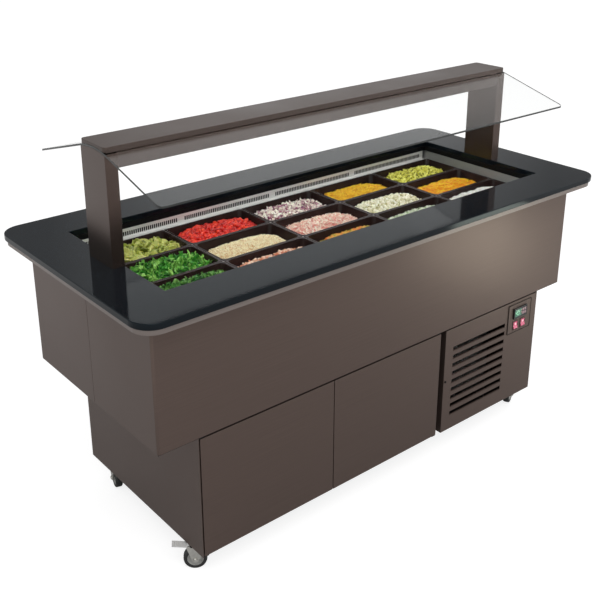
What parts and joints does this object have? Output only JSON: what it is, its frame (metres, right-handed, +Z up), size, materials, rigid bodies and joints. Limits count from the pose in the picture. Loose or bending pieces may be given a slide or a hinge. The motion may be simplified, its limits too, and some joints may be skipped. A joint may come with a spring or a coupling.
{
  "type": "salad bar",
  "caption": "Island refrigerated salad bar: stone worktop with a cold well of lift-out pans, folded glass sneeze guard, cabinet with doors, louvred machine panel and castors.",
  "frame": {"origin": "on the floor, below the centre of the worktop", "axes": "+X right along the counter, +Y to the back away from the doors, +Z up"},
  "size_m": [1.99, 0.9, 1.34],
  "materials": {
    "stone": "polished black stone",
    "rim_metal": "satin",
    "bronze_metal": "satin bronze",
    "dark_metal": "matt black",
    "stainless": "brushed",
    "aluminium_fins": "plain",
    "zinc_steel": "zinc plated",
    "screw_steel": "browned",
    "clear_glass": "clear",
    "black_plastic": "matt",
    "black_gloss": "gloss",
    "pan_black": "gloss black",
    "pale_plastic": "matt",
    "red_gloss": "lit red",
    "castor_rubber": "black rubber",
    "foam": "foam"
  },
  "bodies": {
    "cabinet": {"worktop": "stone", "worktop_rim": "rim_metal", "opening_frame": "black_plastic", "tub_liner": "stainless", "air_grilles": "stainless", "insulation": "foam", "front_wrap": "bronze_metal", "rear_wrap": "bronze_metal", "undertray": "dark_metal", "evaporator_coil": "aluminium_fins", "drain_spout": "black_plastic", "pan_rest_bars": "stainless", "left_post": "bronze_metal", "right_post": "bronze_metal", "guard_beam": "bronze_metal", "beam_cap": "bronze_metal", "sneeze_glass": "clear_glass", "base_frame": "dark_metal", "left_side_panel": "bronze_metal", "right_side_panel": "bronze_metal", "back_panel": "bronze_metal", "machine_panel": "bronze_metal", "control_plate": "bronze_metal", "thermostat": "black_gloss", "compressor": "dark_metal", "condenser": "aluminium_fins", "fan_motors": "dark_metal", "screws": "screw_steel", "cable_inlet": "black_plastic"},
    "left_door": {"left_door": "bronze_metal"},
    "centre_door": {"centre_door": "bronze_metal"},
    "power_rocker": {"power_rocker": "red_gloss"},
    "cooling_rocker": {"cooling_rocker": "red_gloss"},
    "evaporator_fan": {"evaporator_fan": "pale_plastic"},
    "condenser_fan": {"condenser_fan": "pale_plastic"},
    "front_left_fork": {"front_left_fork": "zinc_steel"},
    "front_left_wheel": {"front_left_wheel": "castor_rubber"},
    "front_left_brake": {"front_left_brake": "zinc_steel"},
    "front_right_fork": {"front_right_fork": "zinc_steel"},
    "front_right_wheel": {"front_right_wheel": "castor_rubber"},
    "front_right_brake": {"front_right_brake": "zinc_steel"},
    "back_left_fork": {"back_left_fork": "zinc_steel"},
    "back_left_wheel": {"back_left_wheel": "castor_rubber"},
    "back_right_fork": {"back_right_fork": "zinc_steel"},
    "back_right_wheel": {"back_right_wheel": "castor_rubber"},
    "pan_1_front": {"pan_1_front": "pan_black"},
    "pan_1_middle": {"pan_1_middle": "pan_black"},
    "pan_1_back": {"pan_1_back": "pan_black"},
    "pan_2_front": {"pan_2_front": "pan_black"},
    "pan_2_middle": {"pan_2_middle": "pan_black"},
    "pan_2_back": {"pan_2_back": "pan_black"},
    "pan_3_front": {"pan_3_front": "pan_black"},
    "pan_3_middle": {"pan_3_middle": "pan_black"},
    "pan_3_back": {"pan_3_back": "pan_black"},
    "pan_4_front": {"pan_4_front": "pan_black"},
    "pan_4_middle": {"pan_4_middle": "pan_black"},
    "pan_4_back": {"pan_4_back": "pan_black"},
    "pan_5_front": {"pan_5_front": "pan_black"},
    "pan_5_middle": {"pan_5_middle": "pan_black"},
    "pan_5_back": {"pan_5_back": "pan_black"}
  },
  "joints": [
    {"name": "left_door_hinge", "type": "hinge", "parent": "cabinet", "child": "left_door", "pos_m": [-0.776, -0.36, 0.3075], "axis": [0, 0, -1], "range_deg": [0, 110]},
    {"name": "centre_door_hinge", "type": "hinge", "parent": "cabinet", "child": "centre_door", "pos_m": [0.234, -0.36, 0.3075], "axis": [0, 0, 1], "range_deg": [0, 110]},
    {"name": "power_rocker_tilt", "type": "hinge", "parent": "cabinet", "child": "power_rocker", "pos_m": [0.6655, -0.3645, 0.4145], "axis": [1, 0, 0], "range_deg": [0, 16]},
    {"name": "cooling_rocker_tilt", "type": "hinge", "parent": "cabinet", "child": "cooling_rocker", "pos_m": [0.7095, -0.3645, 0.4145], "axis": [1, 0, 0], "range_deg": [0, 16]},
    {"name": "evaporator_fan_spin", "type": "hinge", "parent": "cabinet", "child": "evaporator_fan", "pos_m": [0.15, 0, 0.664], "axis": [1, 0, 0], "continuous": true},
    {"name": "condenser_fan_spin", "type": "hinge", "parent": "cabinet", "child": "condenser_fan", "pos_m": [0.459, -0.214, 0.297], "axis": [0, 1, 0], "continuous": true},
    {"name": "front_left_swivel", "type": "hinge", "parent": "cabinet", "child": "front_left_fork", "pos_m": [-0.742, -0.302, 0.095], "axis": [0, 0, 1], "continuous": true},
    {"name": "front_left_roll", "type": "hinge", "parent": "front_left_fork", "child": "front_left_wheel", "pos_m": [-0.76687, -0.28522, 0.0375], "axis": [-0.5592, -0.829, 0], "continuous": true},
    {"name": "front_left_brake_pedal", "type": "hinge", "parent": "front_left_fork", "child": "front_left_brake", "pos_m": [-0.78345, -0.27404, 0.084], "axis": [-0.5592, -0.829, 0], "range_deg": [0, 25]},
    {"name": "front_right_swivel", "type": "hinge", "parent": "cabinet", "child": "front_right_fork", "pos_m": [0.742, -0.302, 0.095], "axis": [0, 0, 1], "continuous": true},
    {"name": "front_right_roll", "type": "hinge", "parent": "front_right_fork", "child": "front_right_wheel", "pos_m": [0.76919, -0.28932, 0.0375], "axis": [-0.4226, 0.9063, 0], "continuous": true},
    {"name": "front_right_brake_pedal", "type": "hinge", "parent": "front_right_fork", "child": "front_right_brake", "pos_m": [0.78731, -0.28087, 0.084], "axis": [-0.4226, 0.9063, 0], "range_deg": [0, 25]},
    {"name": "back_left_swivel", "type": "hinge", "parent": "cabinet", "child": "back_left_fork", "pos_m": [-0.742, 0.268, 0.095], "axis": [0, 0, 1], "continuous": true},
    {"name": "back_left_roll", "type": "hinge", "parent": "back_left_fork", "child": "back_left_wheel", "pos_m": [-0.75027, 0.23916, 0.0375], "axis": [0.9613, -0.2756, 0], "continuous": true},
    {"name": "back_right_swivel", "type": "hinge", "parent": "cabinet", "child": "back_right_fork", "pos_m": [0.742, 0.268, 0.095], "axis": [0, 0, 1], "continuous": true},
    {"name": "back_right_roll", "type": "hinge", "parent": "back_right_fork", "child": "back_right_wheel", "pos_m": [0.76498, 0.28728, 0.0375], "axis": [-0.6428, 0.766, 0], "continuous": true},
    {"name": "pan_1_front_lift", "type": "slide", "parent": "cabinet", "child": "pan_1_front", "axis": [0, 0, 1], "range_m": [0, 0.25]},
    {"name": "pan_1_middle_lift", "type": "slide", "parent": "cabinet", "child": "pan_1_middle", "axis": [0, 0, 1], "range_m": [0, 0.25]},
    {"name": "pan_1_back_lift", "type": "slide", "parent": "cabinet", "child": "pan_1_back", "axis": [0, 0, 1], "range_m": [0, 0.25]},
    {"name": "pan_2_front_lift", "type": "slide", "parent": "cabinet", "child": "pan_2_front", "axis": [0, 0, 1], "range_m": [0, 0.25]},
    {"name": "pan_2_middle_lift", "type": "slide", "parent": "cabinet", "child": "pan_2_middle", "axis": [0, 0, 1], "range_m": [0, 0.25]},
    {"name": "pan_2_back_lift", "type": "slide", "parent": "cabinet", "child": "pan_2_back", "axis": [0, 0, 1], "range_m": [0, 0.25]},
    {"name": "pan_3_front_lift", "type": "slide", "parent": "cabinet", "child": "pan_3_front", "axis": [0, 0, 1], "range_m": [0, 0.25]},
    {"name": "pan_3_middle_lift", "type": "slide", "parent": "cabinet", "child": "pan_3_middle", "axis": [0, 0, 1], "range_m": [0, 0.25]},
    {"name": "pan_3_back_lift", "type": "slide", "parent": "cabinet", "child": "pan_3_back", "axis": [0, 0, 1], "range_m": [0, 0.25]},
    {"name": "pan_4_front_lift", "type": "slide", "parent": "cabinet", "child": "pan_4_front", "axis": [0, 0, 1], "range_m": [0, 0.25]},
    {"name": "pan_4_middle_lift", "type": "slide", "parent": "cabinet", "child": "pan_4_middle", "axis": [0, 0, 1], "range_m": [0, 0.25]},
    {"name": "pan_4_back_lift", "type": "slide", "parent": "cabinet", "child": "pan_4_back", "axis": [0, 0, 1], "range_m": [0, 0.25]},
    {"name": "pan_5_front_lift", "type": "slide", "parent": "cabinet", "child": "pan_5_front", "axis": [0, 0, 1], "range_m": [0, 0.25]},
    {"name": "pan_5_middle_lift", "type": "slide", "parent": "cabinet", "child": "pan_5_middle", "axis": [0, 0, 1], "range_m": [0, 0.25]},
    {"name": "pan_5_back_lift", "type": "slide", "parent": "cabinet", "child": "pan_5_back", "axis": [0, 0, 1], "range_m": [0, 0.25]}
  ]
}
